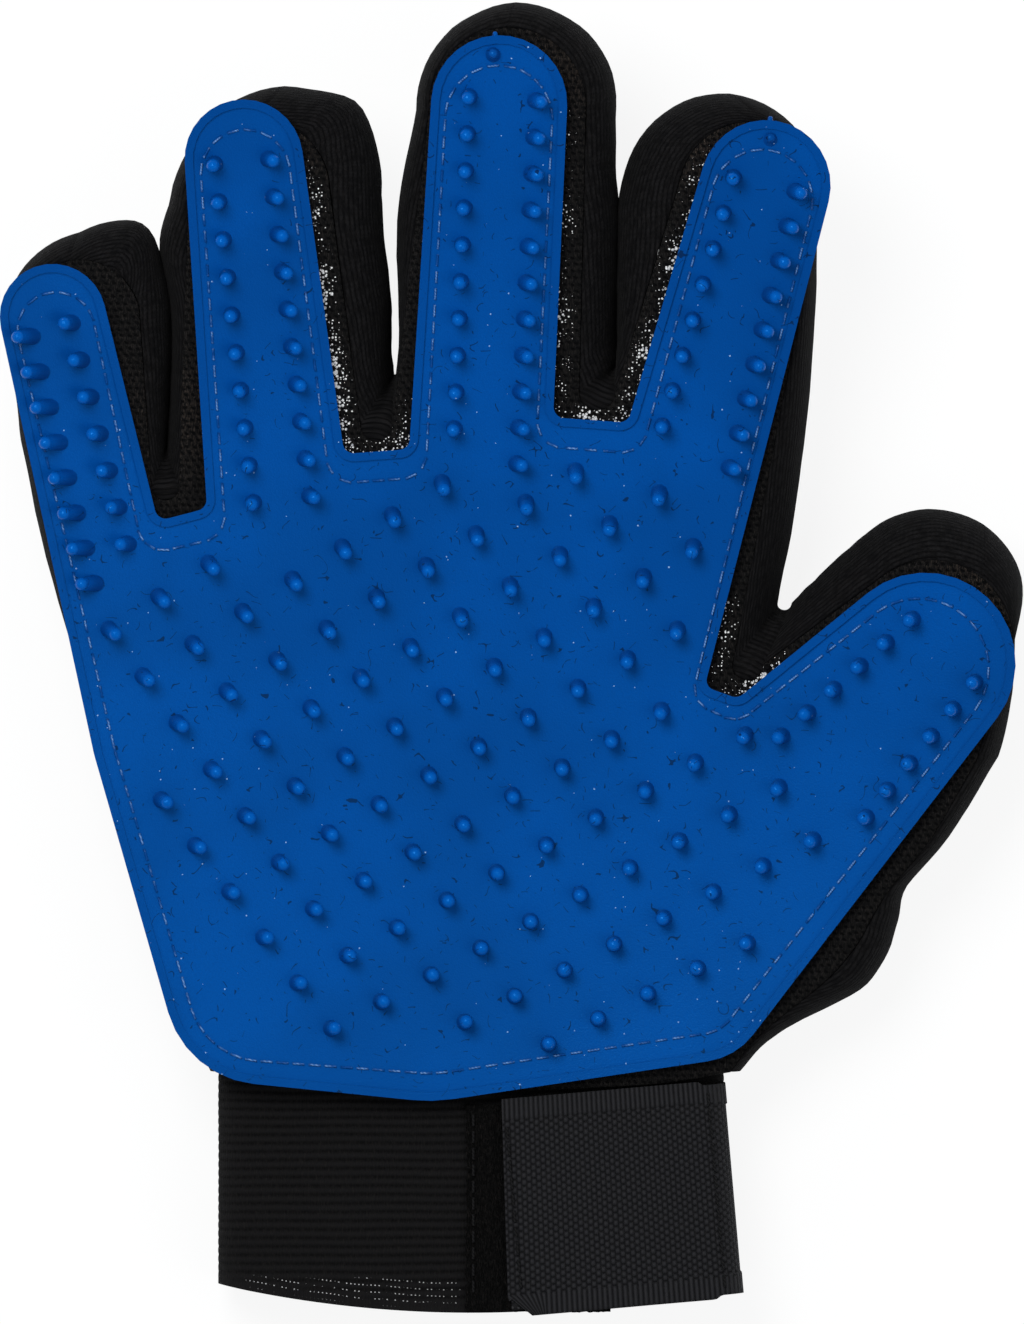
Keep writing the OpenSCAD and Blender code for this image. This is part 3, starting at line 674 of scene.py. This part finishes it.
def near_spots(p, spots):
    """How strongly a point is held by a list of spots, from 0 to 1."""
    return min(1, sum(w * math.exp(-((p[0] - x) ** 2 + (p[1] - y) ** 2) / (r * r))
                      for x, y, r, w in spots))


near_pad = np.clip(1.3 - np.clip(off, 0, None) / 3.4, 0, 1)
palm = new_piece("palm_mesh_sheet", np.c_[plan, z], faces, plan,
                 see=near_pad * [near_spots(p, BRIGHT) for p in plan],
                 brown=[near_spots(p, BROWN) for p in plan])
thicken(palm, FABRIC_T)
finish_piece(palm, "glove", open_mesh, "open_mesh", "palm_mesh")

# ---- back of the hand ----
# The back is one knit panel of the same plan, a little narrower, pressed on the table.
ribs, g_in, g_out = group("knit_ribs", [("Place", "Vector"), ("Pitch", "Float")],
                          [("Height", "Float"), ("Tone", "Float")])
add, maths, fit, mixed, link = node_tools(ribs)
g_xyz = add("ShaderNodeSeparateXYZ")
link(g_in.outputs[0], g_xyz.inputs[0])
g_wob = add("ShaderNodeTexNoise", Scale=0.3, Detail=1.0)
link(g_in.outputs[0], g_wob.inputs["Vector"])
g_x = maths("ADD", maths("DIVIDE", g_xyz.outputs[0], g_in.outputs[1]),
            maths("MULTIPLY", g_wob.outputs[0], 0.5))
g_fr = maths("ABSOLUTE", maths("SUBTRACT", maths("FRACT", g_x), 0.5))
g_col = maths("SUBTRACT", 1.0, maths("MULTIPLY", maths("MULTIPLY", g_fr, g_fr), 4.0))
g_v = maths("ADD", maths("DIVIDE", g_xyz.outputs[1], maths("MULTIPLY", g_in.outputs[1], 0.8)),
            maths("MULTIPLY", g_fr, 1.1))
g_loop = maths("ABSOLUTE", maths("SINE", maths("MULTIPLY", g_v, math.pi)))
link(maths("MULTIPLY", g_col, maths("ADD", maths("MULTIPLY", g_loop, 0.35), 0.65)),
     g_out.inputs[0])
link(g_wob.outputs[0], g_out.inputs[1])

knit, shader, (add, maths, fit, mixed, link) = new_material(
    "knit_fabric", Roughness=0.85, Specular_IOR_Level=0.03, Sheen_Weight=0.01,
    Sheen_Roughness=0.45)
on_cloth = flat_mm(add, link)
rows = use_group(knit.node_tree, ribs, Pitch=1.0)
link(on_cloth, rows.inputs[0])
fibre = use_group(knit.node_tree, fuzz)
link(on_cloth, fibre.inputs[0])
worn = add("ShaderNodeTexNoise", Scale=0.6, Detail=3.0)
link(on_cloth, worn.inputs["Vector"])
ridge = maths("MULTIPLY", fit(rows.outputs["Height"], 0.2, 0.9),
              fit(worn.outputs[0], 0.35, 0.65, 0.25, 1))
dark = mixed(ridge, (0.0018, 0.0018, 0.0021), (0.0078, 0.0076, 0.0082))
dark = mixed(maths("MULTIPLY", fibre.outputs[0], 0.3), dark, (0.015, 0.0135, 0.0125))
link(dark, shader.inputs["Base Color"])
wale = add("ShaderNodeBump", Strength=0.6, Distance=0.0002)
link(ridge, wale.inputs["Height"])
nap = add("ShaderNodeBump", Strength=0.4, Distance=0.0001)
link(fibre.outputs[0], nap.inputs["Height"])
link(wale.outputs[0], nap.inputs["Normal"])
link(nap.outputs[0], shader.inputs["Normal"])

plan, faces = panel(2, 3)
z = back_z(plan[:, 0], plan[:, 1])
back = new_piece("back_sheet", np.c_[plan, z], [f[::-1] for f in faces], plan)
thicken(back, FABRIC_T)
finish_piece(back, "glove", knit, "knit_fabric", "back_panel")

# ---- side strips and finger walls ----
# Six knit strips join the palm mesh to the back. Each is sewn along both edges and runs
# from one fingertip down to the crotch and up the next, so it puckers at the crotch.
ARC_N = 22
# strips whose two walls press on each other, and how far up the hand
TOUCH = {1: 79.5, 3: 86}
# widest space that the press closes, its share on each side, the overlap and the fade
PRESS_MOST, PRESS_SHARE, PRESS_OVER, PRESS_FADE = 4, 0.6, 0.5, 2.5


def strip(name, f):
    t, m, b = STRIPS[f]
    m = bulged(m)
    zt, zb = cup_z(t[:, 0], t[:, 1]), back_z(b[:, 0], b[:, 1])
    zm = (zt + zb) / 2
    length = np.r_[0, np.cumsum(np.linalg.norm(np.diff(m, axis=0), axis=1))]
    gap = np.minimum(length, length[-1] - length)
    turn_at = length[int(np.argmin(m[:, 1]))]
    press = np.zeros(len(m))
    if f in TOUCH:
        k = int(np.argmin(m[:, 1]))
        down, up = m[:k + 1][::-1], m[k:]
        gaps = np.r_[(np.interp(down[:, 1], up[:, 1], up[:, 0]) - down[:, 0])[::-1],
                     (up[:, 0] - np.interp(up[:, 1], down[:, 1], down[:, 0]))[1:]]
        press = np.clip(gaps, 0, PRESS_MOST) * PRESS_SHARE + PRESS_OVER
        press *= np.clip((TOUCH[f] - m[:, 1]) / PRESS_FADE, 0, 1)
        press = np.convolve(np.pad(press, 2, "edge"), np.full(5, 0.2), "valid")
    n, points, flats, widths = len(m), [], [], []
    for i in range(n):
        out = m[i] - (t[i] + b[i]) / 2
        out /= max(np.linalg.norm(out), 1e-3)
        across = 0.0
        last = None
        for j in range(ARC_N + 1):
            a = -math.pi / 2 + math.pi * j / ARC_N
            e = b[i] if a < 0 else t[i]
            p = m[i] + (e - m[i]) * (1 - math.cos(a))
            z = zm[i] + (zt[i] - zm[i]) * math.sin(a)
            hold = math.cos(a) ** 0.7
            crook = math.exp(-((length[i] - turn_at) / 16) ** 2) if 0 < f < 5 else 0
            fold = ((0.18 + 0.5 * crook) * rough(p[0], p[1], z * 0.4, 6)
                    + (0.08 + 0.3 * crook) * rough(p[0], p[1], z, 2.6))
            knot = 1.1 * math.exp(-((length[i] - turn_at) / 3.4) ** 2) if 0 < f < 4 else 0
            p = p + out * (fold - 0.25 + press[i] + knot) * hold * min(1, gap[i] / 6)
            q = np.array([p[0], p[1], z])
            across += 0 if last is None else np.linalg.norm(q - last)
            last = q
            points.append(q)
            flats.append((across, length[i]))
        widths.append(across)
    k = ARC_N + 1
    faces = [(i * k + j, i * k + j + 1, (i + 1) * k + j + 1, (i + 1) * k + j)
             for i in range(n - 1) for j in range(k - 1)]
    o = thicken(new_piece(name + "_sheet", points, faces, flats), FABRIC_T)
    finish_piece(o, "glove", knit, "knit_fabric", name)
    area = float(np.sum((np.array(widths[1:]) + widths[:-1]) / 2 * np.diff(length)))
    max(widths) * MM


for f, name in enumerate(("side_strip_little", "fourchette_little_ring", "fourchette_ring_middle",
                          "fourchette_middle_index", "thumb_gusset", "side_strip_thumb")):
    strip(name, f)

# ---- elastic cuff ----
# A wide ribbed elastic goes round the wrist, open for a finger's width under the strap.
CUFF_W, CUFF_LEFT, CUFF_Y1, CUFF_Y0, CUFF_EDGE_R = 91.6, -53.2, -71.5, -117.6, 205
CUFF_WALL, CUFF_Z0, CUFF_Z1, CUFF_FOLD = 1.4, 1.35, 20.65, 6
SLIT_X, SLIT_W, RIB_PITCH = 20, 5, 1.55
cuff_mid = CUFF_LEFT + CUFF_W / 2


def cuff_path(step):
    """Points round the cuff in the plane across the wrist, from one slit edge to the other."""
    x1, r = CUFF_LEFT + CUFF_W, CUFF_FOLD
    run = [np.array([(x, CUFF_Z1) for x in np.arange(SLIT_X + SLIT_W, x1 - r, step)])]
    for cx, cz, a in ((x1 - r, CUFF_Z1 - r, 90), (x1 - r, CUFF_Z0 + r, 0),
                      (CUFF_LEFT + r, CUFF_Z0 + r, -90), (CUFF_LEFT + r, CUFF_Z1 - r, -180)):
        run.append(polar((cx, cz), r, np.linspace(a, a - 90, 9)))
        if a == 0:
            run.append(np.array([(x, CUFF_Z0) for x in
                                 np.arange(x1 - r - step, CUFF_LEFT + r + step / 2, -step)]))
    run.append(np.array([(x, CUFF_Z1) for x in np.arange(CUFF_LEFT + r + step, SLIT_X, step)]))
    run.append(np.array([(SLIT_X, CUFF_Z1)]))
    return np.vstack(run)


elastic, shader, (add, maths, fit, mixed, link) = new_material(
    "ribbed_elastic", Roughness=0.85, Specular_IOR_Level=0.03, Sheen_Weight=0.01)
on_cloth = flat_mm(add, link)
xyz = add("ShaderNodeSeparateXYZ")
link(on_cloth, xyz.inputs[0])
fibre = use_group(elastic.node_tree, fuzz)
link(on_cloth, fibre.inputs[0])
loops_x = maths("ABSOLUTE", maths("SINE", maths("MULTIPLY", xyz.outputs[0], math.pi / 0.62)))
dip = add("ShaderNodeAttribute", attribute_name="groove")
mottle = add("ShaderNodeTexNoise", Scale=1.4, Detail=3.0)
link(on_cloth, mottle.inputs["Vector"])
# painted shade: the elastic is darker in its rib grooves, by their depth, patchy by a noise
dark = mixed(maths("MULTIPLY", dip.outputs["Fac"], fit(mottle.outputs[0], 0.3, 0.6, 0.5, 1)),
             (0.0072, 0.007, 0.0074), (0.0022, 0.0022, 0.0023))
dark = mixed(fit(loops_x, 0.2, 0.0, 0, 0.4), dark, (0.003, 0.003, 0.003))
dark = mixed(maths("MULTIPLY", fibre.outputs[0], 0.4), dark, (0.0145, 0.013, 0.012))
open_at = add("ShaderNodeAttribute", attribute_name="see")
hem = add("ShaderNodeAttribute", attribute_name="hem")


def in_row(value, pitch, share):
    """1 on a narrow band repeated with a pitch, else 0."""
    part = maths("FRACT", maths("DIVIDE", value, pitch))
    return maths("LESS_THAN", maths("ABSOLUTE", maths("SUBTRACT", part, 0.5)), share / 2)


gaps = add("ShaderNodeTexNoise", Scale=0.9, Detail=2.0)
link(on_cloth, gaps.inputs["Vector"])
dots = maths("MULTIPLY", in_row(xyz.outputs[0], 0.73, 0.3), in_row(hem.outputs["Fac"], 1.2, 0.14))
dots = maths("MULTIPLY", dots, maths("GREATER_THAN", gaps.outputs[0], 0.48))
dots = maths("MULTIPLY", dots, open_at.outputs["Fac"])
link(mixed(dots, dark, (0.4, 0.4, 0.4)), shader.inputs["Base Color"])
weave = add("ShaderNodeBump", Strength=0.6, Distance=0.00015)
link(maths("ADD", loops_x, fibre.outputs[0]), weave.inputs["Height"])
link(weave.outputs[0], shader.inputs["Normal"])

path = cuff_path(1.6)
path_len = np.r_[0, np.cumsum(np.linalg.norm(np.diff(path, axis=0), axis=1))]
tangent = np.gradient(path, axis=0)
outward = np.stack([-tangent[:, 1], tangent[:, 0]], 1)
outward /= np.linalg.norm(outward, axis=1)[:, None]
ROW_N = int((CUFF_Y1 - CUFF_Y0) / RIB_PITCH * 7)
points, flats, groove, see, hem_d = [], [], [], [], []
for i, (x, zz) in enumerate(path):
    y0 = CUFF_Y0 + CUFF_EDGE_R - math.sqrt(CUFF_EDGE_R ** 2 - (x - cuff_mid) ** 2)
    for j in range(ROW_N + 1):
        y = CUFF_Y1 + (y0 - CUFF_Y1) * j / ROW_N
        s = y - CUFF_Y1 + 0.25 * rough(x, y, 0, 16)
        dip_d = (0.5 + 0.5 * math.cos(2 * math.pi * s / RIB_PITCH)) ** 2.2
        dip_d *= min(1, max(0, (y - y0 - 0.8) / 2.5))
        sag = 0.22 * (0.5 + rough(x, y, 5, 9))
        folded = min(1, max(0, 1 - (min(x - CUFF_LEFT, CUFF_LEFT + CUFF_W - x)) / CUFF_FOLD))
        d = (-0.34 * dip_d - sag) * (1 - 0.75 * folded)
        points.append((x + outward[i, 0] * d, y, zz + outward[i, 1] * d))
        flats.append((path_len[i], y))
        groove.append(dip_d)
        hem_d.append(y - y0 + 0.18 * rough(x, y, 9, 5))
        top = 2.6 + 3.0 * min(1, max(0, (x + 48) / 22))
        see.append(1 if zz > 11 and -48 < x < -9 and 0.7 < y - y0 < top else 0)
k = ROW_N + 1
faces = [(i * k + j, i * k + j + 1, (i + 1) * k + j + 1, (i + 1) * k + j)
         for i in range(len(path) - 1) for j in range(k - 1)]
cuff = thicken(new_piece("cuff_sheet", points, faces, flats, groove=groove, see=see,
                         hem=hem_d), CUFF_WALL)
finish_piece(cuff, "glove", elastic, "ribbed_elastic", "cuff_elastic")

# The cuff's hem, the tapes and the strap are sewn with dark thread.
dark_thread, shader, (add, maths, fit, mixed, link) = new_material(
    "dark_thread", Roughness=0.8, Specular_IOR_Level=0.1)
place = add("ShaderNodeTexCoord")
twist = add("ShaderNodeTexWave", bands_direction="DIAGONAL", Scale=900.0, Distortion=0.5)
link(place.outputs["Object"], twist.inputs["Vector"])
link(mixed(twist.outputs[1], (0.0015, 0.0015, 0.002), (0.008, 0.0078, 0.008)),
     shader.inputs["Base Color"])
ply = add("ShaderNodeBump", Strength=0.5, Distance=0.00008)
link(twist.outputs[1], ply.inputs["Height"])
link(ply.outputs[0], shader.inputs["Normal"])
for name in ("cuff_hem_stitching", "loop_tape_stitching", "strap_edge_stitching",
             "anchor_stitching"):
    dress(name, dark_thread)

# ---- loop tape ----
# A patch of brushed loop tape is sewn to the cuff, where the strap closes on it.
pile, shader, (add, maths, fit, mixed, link) = new_material(
    "loop_pile", Roughness=0.95, Specular_IOR_Level=0.02, Sheen_Weight=0.01, Sheen_Roughness=0.6)
on_cloth = flat_mm(add, link)
fibre = use_group(pile.node_tree, fuzz)
link(on_cloth, fibre.inputs[0])
clump = add("ShaderNodeTexNoise", Scale=1.1, Detail=4.0)
link(on_cloth, clump.inputs["Vector"])
dark = mixed(fibre.outputs[0], (0.0012, 0.0012, 0.0012), (0.0135, 0.0115, 0.0105))
link(mixed(fit(clump.outputs[0], 0.35, 0.65), (0.001, 0.001, 0.001), dark),
     shader.inputs["Base Color"])
fluff = add("ShaderNodeBump", Strength=1.0, Distance=0.0006)
link(maths("ADD", clump.outputs[0], fibre.outputs[0]), fluff.inputs["Height"])
link(fluff.outputs[0], shader.inputs["Normal"])


def slab(name, corner_of, nu, nv, lift):
    """A grid piece: corner_of(u, v) gives a point in mm for u and v from 0 to 1."""
    points, flats = [], []
    for i in range(nu + 1):
        for j in range(nv + 1):
            p = np.array(corner_of(i / nu, j / nv), float)
            points.append(p + (0, 0, lift(p[0], p[1])))
            flats.append((p[0], p[1]))
    k = nv + 1
    faces = [(i * k + j, (i + 1) * k + j, (i + 1) * k + j + 1, i * k + j + 1)
             for i in range(nu) for j in range(nv)]
    return new_piece(name, points, faces, flats)


def loop_at(u, v):
    ragged = 0.5 * rough(u * 26, v * 37, 2, 1.4) + 0.3 * rough(u * 26, v * 37, 7, 0.6)
    x = -8.2 + 26 * u + (ragged if u < 0.03 else 0)
    return (x, -117.4 + 37.4 * v + (0.6 * ragged if v == 0 else 0), 21.88)


loop = slab("loop_sheet", loop_at, 60, 130, lambda x, y: 0.16 * rough(x, y, 0, 1.3) - 0.08)
thicken(loop, 1.05)
finish_piece(loop, "glove", pile, "loop_pile", "loop_tape")

# ---- wrist strap ----
# The strap is one length of woven hook webbing with two thicker selvages. It is sewn to
# the thumb edge of the cuff, where it folds down, and lies over the tape beneath it.
STRAP_X, STRAP_Y, STRAP_TURN, STRAP_LEN, STRAP_W, STRAP_TOP = 36, -95.4, 5, 37.4, 39.4, 24.18
ANCHOR_RIGHT, ANCHOR_FOLD, LEAN = 40.0, 4.6, 0.055


def at_seam(x, y, z):
    a = math.radians(STRAP_TURN)
    x += LEAN * y * min(1, max(0, -x / STRAP_LEN))
    return (STRAP_X + x * math.cos(a) - y * math.sin(a),
            STRAP_Y + x * math.sin(a) + y * math.cos(a), z)


web, shader, (add, maths, fit, mixed, link) = new_material(
    "woven_strap", Roughness=0.75, Specular_IOR_Level=0.1, Sheen_Weight=0.02)
on_cloth = flat_mm(add, link)
xyz = add("ShaderNodeSeparateXYZ")
link(on_cloth, xyz.inputs[0])
along, over = xyz.outputs[0], xyz.outputs[1]
warp = maths("ABSOLUTE", maths("SINE", maths("MULTIPLY", along, math.pi / 0.9)))
row_v = maths("ADD", maths("DIVIDE", over, 1.25), maths("MULTIPLY", maths("FLOOR", maths(
    "DIVIDE", along, 0.9)), 0.5))
weft = maths("ABSOLUTE", maths("SINE", maths("MULTIPLY", row_v, math.pi)))
body_h = maths("MULTIPLY", maths("POWER", warp, 0.6), weft)
cord_h = maths("MULTIPLY", warp, 0.9)
edge_at = maths("ABSOLUTE", over)
selvage = fit(edge_at, STRAP_W / 2 - 4.2, STRAP_W / 2 - 3.6)
height = maths("ADD", maths("MULTIPLY", body_h, maths("SUBTRACT", 1.0, selvage)),
               maths("MULTIPLY", cord_h, selvage))
fibre = use_group(web.node_tree, fuzz)
link(on_cloth, fibre.inputs[0])
dark = mixed(fit(height, 0.1, 0.85), (0.002, 0.002, 0.0028), (0.0138, 0.0138, 0.0158))
dark = mixed(maths("MULTIPLY", fibre.outputs[0], 0.2), dark, (0.03, 0.028, 0.027))
link(dark, shader.inputs["Base Color"])
yarn = add("ShaderNodeBump", Strength=1.0, Distance=0.0004)
link(height, yarn.inputs["Height"])
link(yarn.outputs[0], shader.inputs["Normal"])

run = [(-STRAP_LEN + STRAP_LEN * t, STRAP_TOP) for t in np.linspace(0, 1, 56)]
fold_x = ANCHOR_RIGHT - ANCHOR_FOLD - STRAP_X
run += [(fold_x + ANCHOR_FOLD * math.sin(a), STRAP_TOP - ANCHOR_FOLD * (1 - math.cos(a)))
        for a in np.linspace(0.25, math.pi / 2, 12)]
run += [(ANCHOR_RIGHT - STRAP_X, z) for z in np.linspace(STRAP_TOP - ANCHOR_FOLD - 1, 8, 12)]
run = np.array(run)
run_len = np.r_[0, np.cumsum(np.linalg.norm(np.diff(run, axis=0), axis=1))] - STRAP_LEN
nrm = np.gradient(run, axis=0)
nrm = np.stack([-nrm[:, 1], nrm[:, 0]], 1) / np.linalg.norm(nrm, axis=1)[:, None]
ACROSS = np.unique(np.r_[np.linspace(-1, 1, 61), [-0.81, -0.79, 0.79, 0.81]])
points, flats = [], []
for i, (x, zz) in enumerate(run):
    half = STRAP_W / 2 - (0.7 if x > 0.2 else 0.7 * min(1, max(0, (x + 0.8))))
    for s in ACROSS:
        y = s * half
        selv = 0.25 if abs(s) > 0.8 else 0.0
        ridge = 0.22 * math.exp(-((run_len[i] - 0.1) / 0.45) ** 2) * (1 - selv * 4)
        sag = -0.5 * max(0, math.sin(math.pi * min(1, max(0, (x + 20) / 19.5)))) if x < -0.4 else 0
        wave = 0.12 * rough(x, y, 1, 8) - 0.06 if x < 0 else 0
        d = min(selv + ridge, 0.25) + sag + wave * (selv == 0)
        cut = 0.0
        if i < 10 and s < -0.8:
            cut = (1 - i / 10) * 4.2 * (-s - 0.8) / 0.2
        points.append(at_seam(x + nrm[i, 0] * d + cut, y, zz + nrm[i, 1] * d))
        flats.append((run_len[i], y))
k = len(ACROSS)
faces = [(i * k + j, (i + 1) * k + j, (i + 1) * k + j + 1, i * k + j + 1)
         for i in range(len(run) - 1) for j in range(k - 1)]
strap = thicken(new_piece("strap_sheet", points, faces, flats), 1.3)
strap.data.materials.append(web)
tuple(v * MM for v in at_seam(0.7, 0, 24.4))
tuple(v * MM for v in at_seam(-1.3, 0, 24.4))
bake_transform(strap)
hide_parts("strap_web", "strap_anchor")

# The strap's free end carries the hook tape that grips the loops.
hooks, shader, (add, maths, fit, mixed, link) = new_material(
    "hook_tape", Roughness=0.6, Specular_IOR_Level=0.2)
on_cloth = flat_mm(add, link)
cell = add("ShaderNodeTexVoronoi", voronoi_dimensions="2D", Scale=0.9, Randomness=0.1)
link(on_cloth, cell.inputs["Vector"])
stub = fit(cell.outputs["Distance"], 0.15, 0.4, 1, 0)
link(mixed(stub, (0.004, 0.004, 0.005), (0.03, 0.03, 0.032)), shader.inputs["Base Color"])
prick = add("ShaderNodeBump", Strength=1.0, Distance=0.0005)
link(stub, prick.inputs["Height"])
link(prick.outputs[0], shader.inputs["Normal"])
hook = slab("hook_sheet", lambda u, v: at_seam(0.6 - STRAP_LEN + 15 * u, (v - 0.5) * 37.0, 22.85),
            12, 30, lambda x, y: 0)
thicken(hook, 0.87)
finish_piece(hook, "strap", hooks, "hook_tape", "hook_tape")

bpy.context.view_layer.update()
